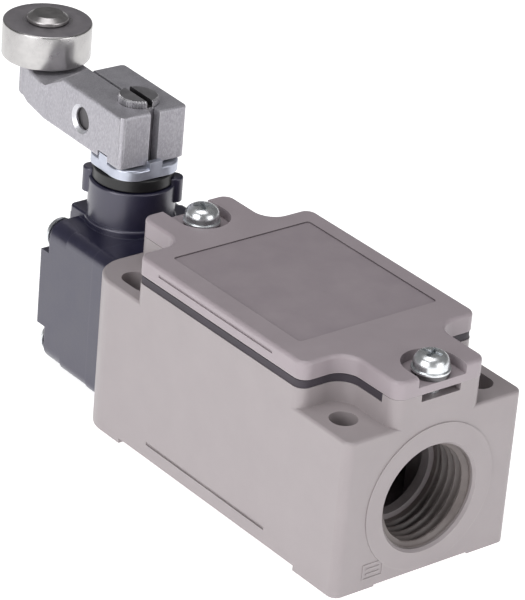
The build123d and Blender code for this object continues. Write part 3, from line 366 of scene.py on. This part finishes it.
# ------------------------------------------------------------ conduit thread
def conduit_thread():
    bm = bmesh.new()
    pitch, seg, per = 1.814, 160, 14
    zc, r_root, r_crest, r_out = 15.1, 10.36, 9.35, 10.46
    y0, y1, ys = -37.2, -28.04, -29.4
    ny = int((y1 - y0) / pitch * per)
    inner = []
    for k in range(ny + 1):
        y = y0 + (y1 - y0) * k / ny
        ring = []
        for i in range(seg):
            a = 2 * math.pi * i / seg
            ph = ((y + 35.95) / pitch - i / seg) % 1.0
            t = 1 - abs(2 * ph - 1)                # 0 at the crest, 1 at the root
            t = min(1.0, max(0.0, (t - 0.10) / 0.78))
            r = r_crest + (r_root - r_crest) * t
            fade = min(1.0, max(0.0, (y - y0) / 0.5))
            r = r_root + (r - r_root) * fade
            if y > ys:
                r = r + (9.55 - r) * min(1.0, (y - ys) / 0.5)
            ring.append(bm.verts.new(Vector((r * math.cos(a), y, zc + r * math.sin(a))) * MM))
        inner.append(ring)
    outer = []
    for y in (y1, y0):
        outer.append([
            bm.verts.new(Vector((r_out * math.cos(2 * math.pi * i / seg), y, zc + r_out * math.sin(2 * math.pi * i / seg))) * MM)
            for i in range(seg)
        ])
    rings = inner + outer
    for k in range(len(rings)):
        a, b = rings[k], rings[(k + 1) % len(rings)]
        for i in range(seg):
            j = (i + 1) % seg
            bm.faces.new((a[i], b[i], b[j], a[j]))
    # the threads take the darkened thread colour: painted shade inside the conduit bore
    return finish_piece(new_object("conduit_thread", bm), "thread_painted_shade", "body", "case_paint", smooth=50)


conduit_thread()


# ------------------------------------------------------------ roller and its rivet
def roller():
    bm = bmesh.new()
    z0, z1, r = 52.65, 59.90, 8.848
    prof = [
        (2.56, z0 + 0.15), (2.7, z0), (5.2, z0), (5.35, z0 + 0.12), (7.9, z0 + 0.12), (8.05, z0), (r - 0.42, z0),
        (r - 0.2, z0 + 0.06), (r - 0.06, z0 + 0.2), (r, z0 + 0.42),
        (r, z0 + 2.5), (r, z0 + 4.6), (r, z1 - 0.42), (r - 0.06, z1 - 0.2), (r - 0.2, z1 - 0.06), (r - 0.42, z1),
        (7.2, z1), (4.75, z1), (4.6, z1 - 0.12), (2.9, z1 - 0.12), (2.56, z1 - 0.25),
    ]
    ring_mesh(bm, prof, (rc.x, rc.y, 0), seg=128)
    ob = finish_piece(new_object("roller_turned", bm), "roller_steel", "roller", "roller_steel", "roller", smooth=40)
    ob.data.materials.append(MAT["roller_face"])
    for poly in ob.data.polygons:
        if abs(poly.normal.z) > 0.95:
            poly.material_index = 1
    return ob


def rivet():
    bm = bmesh.new()
    zt, zb = 61.5, 59.95
    prof = [
        (0, zt - 0.06), (1.7, zt - 0.06), (1.85, zt - 0.02), (2.0, zt), (2.75, zt), (3.0, zt - 0.05), (3.8, zt - 0.62),
        (4.02, zt - 0.8), (4.1, zt - 0.98),
        (4.1, zb + 0.15), (4.0, zb), (2.5, zb), (2.5, 45.05), (2.3, 45.0), (1.4, 45.0), (1.2, 45.12), (0, 45.12),
    ]
    lathe_mesh(bm, prof, (rc.x, rc.y, 0), seg=96)
    return finish_piece(new_object("roller_rivet", bm), "rivet_steel", "lever", "rivet_steel", "roller_pin", smooth=16)


roller()
rivet()


# ------------------------------------------------------------ shaft with its serrated end and driver slot
def shaft():
    bm = bmesh.new()
    teeth, per = 44, 4
    seg = teeth * per
    half, z_floor, z_top = 0.65, 55.7, 57.0

    def ring(z, r_of, keep_slot=False):
        out = []
        for i in range(seg):
            a = 2 * math.pi * i / seg
            r = r_of(i)
            u, v = r * math.cos(a), r * math.sin(a)
            if keep_slot and i in edge_of:
                u = half if u > 0 else -half
                v = math.copysign(math.sqrt(r * r - half * half), v)
            x = u * math.cos(TH) - v * math.sin(TH)
            y = u * math.sin(TH) + v * math.cos(TH)
            out.append(bm.verts.new(Vector((x, SHAFT.y + y, z)) * MM))
        return out

    # ring positions on either side of the slot, at both ends of it
    i_r1 = round(math.acos(half / 3.9) / (2 * math.pi) * seg)
    i_l1 = seg // 2 - i_r1
    i_l2, i_r2 = seg // 2 + i_r1, seg - i_r1
    edge_of = {i_r1, i_l1, i_l2, i_r2}

    def toothed(i):
        return 3.82 if i % per in (0, 1) else 3.98

    def close(a, b):
        for i in range(seg):
            j = (i + 1) % seg
            bm.faces.new((a[i], b[i], b[j], a[j]))

    prof = [(2.7, 4.3), (3.0, 4.6), (3.0, 8.3), (3.98, 8.3), (3.98, 24.0), (3.4, 24.0), (3.4, 24.9), (3.98, 24.9),
            (3.98, 55.3)]
    first = prev = ring(prof[0][1], lambda i: prof[0][0])
    for r, z in prof[1:]:
        cur = ring(z, lambda i, r=r: r)
        close(prev, cur)
        prev = cur
    bm.faces.new(list(reversed(first)))
    low = ring(55.45, toothed, True)
    close(prev, low)
    floor_ring = ring(z_floor, toothed, True)
    close(low, floor_ring)
    right = [(i_r2 + k) % seg for k in range((i_r1 - i_r2) % seg + 1)]
    left = list(range(i_l1, i_l2 + 1))
    slot = list(range(i_r1, i_l1 + 1)) + list(range(i_l2, i_r2 + 1))
    bm.faces.new([floor_ring[i] for i in slot]).material_index = 1
    for side in (right, left):
        rings = [{i: floor_ring[i] for i in side}]
        for z, back in ((z_top - 0.3, 0.0), (z_top, 0.3)):
            level = {}
            for i in side:
                a = 2 * math.pi * i / seg
                r = toothed(i) - back
                u, v = r * math.cos(a), r * math.sin(a)
                if i in edge_of:
                    u = half if u > 0 else -half
                    v = math.copysign(math.sqrt(r * r - half * half), v)
                x = u * math.cos(TH) - v * math.sin(TH)
                y = u * math.sin(TH) + v * math.cos(TH)
                level[i] = bm.verts.new(Vector((x, SHAFT.y + y, z)) * MM)
            rings.append(level)
        for a, b in zip(rings, rings[1:]):
            for i, j in zip(side, side[1:]):
                bm.faces.new((a[i], b[i], b[j], a[j]))
            bm.faces.new((a[side[-1]], b[side[-1]], b[side[0]], a[side[0]])).material_index = 1
        bm.faces.new([rings[-1][i] for i in side])
    ob = new_object("shaft_serrated", bm)
    dark = [poly.index for poly in ob.data.polygons if poly.material_index == 1]
    finish_piece(ob, "steel_turned", "lever", "steel_turned", "rotary_shaft", smooth=30)
    ob.data.materials.append(MAT["slot_shade"])
    for k in dark:
        ob.data.polygons[k].material_index = 1
    return ob


shaft()


# ------------------------------------------------------------ the shallow field on the cover
cover = nodes["cover"]
cover.data.materials.append(MAT["field_paint"])
cover.data.materials.append(MAT["field_wall_painted_shade"])
top_z = max(v.co.z for v in cover.data.vertices)
for poly in cover.data.polygons:
    z = poly.center.z
    inside = abs(poly.center.x) < 17 * MM and -21.5 * MM < poly.center.y < 22.5 * MM
    if not inside or z > top_z - 0.01 * MM or z < top_z - 0.6 * MM:
        continue
    # floor of the field in field paint, its walls in the darker painted-shade colour
    poly.material_index = 1 if poly.normal.z > 0.9 else 2


# ------------------------------------------------------------ softened castings
arm = soften("lever_arm", 0.7, "lever", 4, 28, long_edges=(2.0, 46.5))
soften("lever_clamp_half", 0.7, "lever", 4, 28, long_edges=(2.0, 46.5))
# the bright countersink of the tapped hole
arm.data.materials.append(MAT["cut_edge"])
out_dir = Vector((-math.sin(TH), math.cos(TH)))
across = Vector((math.cos(TH), math.sin(TH)))
for poly in arm.data.polygons:
    c = poly.center / MM
    rel = Vector((c.x, c.y)) - SHAFT
    u, v = rel.dot(out_dir), rel.dot(across)
    tilt = abs(poly.normal.x * across.x + poly.normal.y * across.y)
    if -7.48 < v < -6.85 and math.hypot(u - 8.0, c.z - 49.9) < 3.1 and 0.4 < tilt < 0.95:
        poly.material_index = 1
soften("position_plate", 0.3, "lever", 3, 28)
soften("cover_screw_washers", 0.12, "body", 2)
soften("lever_bolt", 0.12, "lever", 2)
soften("roller_washer", 0.1, "lever", 2)


# ------------------------------------------------------------ floor, light, camera
def floor():
    bm = bmesh.new()
    s = 3.0
    vs = [bm.verts.new((x * s, y * s, -0.0002)) for x, y in ((-1, -1), (1, -1), (1, 1), (-1, 1))]
    bm.faces.new(vs)
    me = bpy.data.meshes.new("floor")
    bm.to_mesh(me)
    bm.free()
    ob = bpy.data.objects.new("floor", me)
    bpy.context.scene.collection.objects.link(ob)
    m = bpy.data.materials.new("floor_white")
    m.use_nodes = True
    p = m.node_tree.nodes["Principled BSDF"]
    p.inputs["Base Color"].default_value = (0.9, 0.9, 0.9, 1)
    p.inputs["Roughness"].default_value = 0.8
    p.inputs["Specular IOR Level"].default_value = 0.2
    p.inputs["Emission Color"].default_value = (1, 1, 1, 1)
    p.inputs["Emission Strength"].default_value = 0.72
    ob.data.materials.append(m)


floor()
world = bpy.data.worlds.new("studio")
bpy.context.scene.world = world
world.use_nodes = True
world.node_tree.nodes["Background"].inputs["Color"].default_value = (1, 1, 1, 1)
world.node_tree.nodes["Background"].inputs["Strength"].default_value = 0.17


def area(name, loc, target, size, power, col=(1, 1, 1), size_y=None):
    d = bpy.data.lights.new(name, "AREA")
    d.energy = power
    d.color = col
    d.size = size
    if size_y:
        d.shape = "RECTANGLE"
        d.size_y = size_y
    o = bpy.data.objects.new(name, d)
    o.location = loc
    o.rotation_mode = "QUATERNION"
    o.rotation_quaternion = (Vector(target) - Vector(loc)).to_track_quat("-Z", "Y")
    bpy.context.scene.collection.objects.link(o)
    return o


area("key_left", (-0.62, -0.10, 0.30), (0, 0.01, 0.02), 0.5, 2.9)
area("fill_front", (0.20, -0.70, 0.22), (0, 0, 0.02), 0.5, 2.0)
area("top", (-0.08, 0.02, 0.75), (0, 0.02, 0.03), 0.5, 2.2)

# camera at the measured viewing position
AZ, EL, ROLLA = math.radians(-40.278), math.radians(27.022), math.radians(5.106)
F_PX, D_MM, TX, TY, CX, CY = 3586.1, 670.247, 5.215, -32.788, 261.675, 302.082
back = Vector((math.sin(AZ) * math.cos(EL), -math.cos(AZ) * math.cos(EL), math.sin(EL)))
right = Vector((0, 0, 1)).cross(back).normalized()
up = back.cross(right)
r2 = right * math.cos(ROLLA) + up * math.sin(ROLLA)
u2 = -right * math.sin(ROLLA) + up * math.cos(ROLLA)
cam = bpy.data.cameras.new("camera")
cam.sensor_fit = "AUTO"
cam.sensor_width = 36.0
cam.lens = F_PX / 600.0 * 36.0
cam.shift_x = (262.5 - CX) / 600.0
cam.shift_y = (CY - 300.0) / 600.0
cam.clip_start, cam.clip_end = 0.01, 20.0
co = bpy.data.objects.new("camera", cam)
bpy.context.scene.collection.objects.link(co)
loc = (-TX * r2 - TY * u2 + D_MM * back) * MM
co.matrix_world = Matrix((
    (r2.x, u2.x, back.x, loc.x), (r2.y, u2.y, back.y, loc.y), (r2.z, u2.z, back.z, loc.z), (0, 0, 0, 1),
))
bpy.context.scene.camera = co
bpy.context.scene.view_settings.view_transform = "Standard"
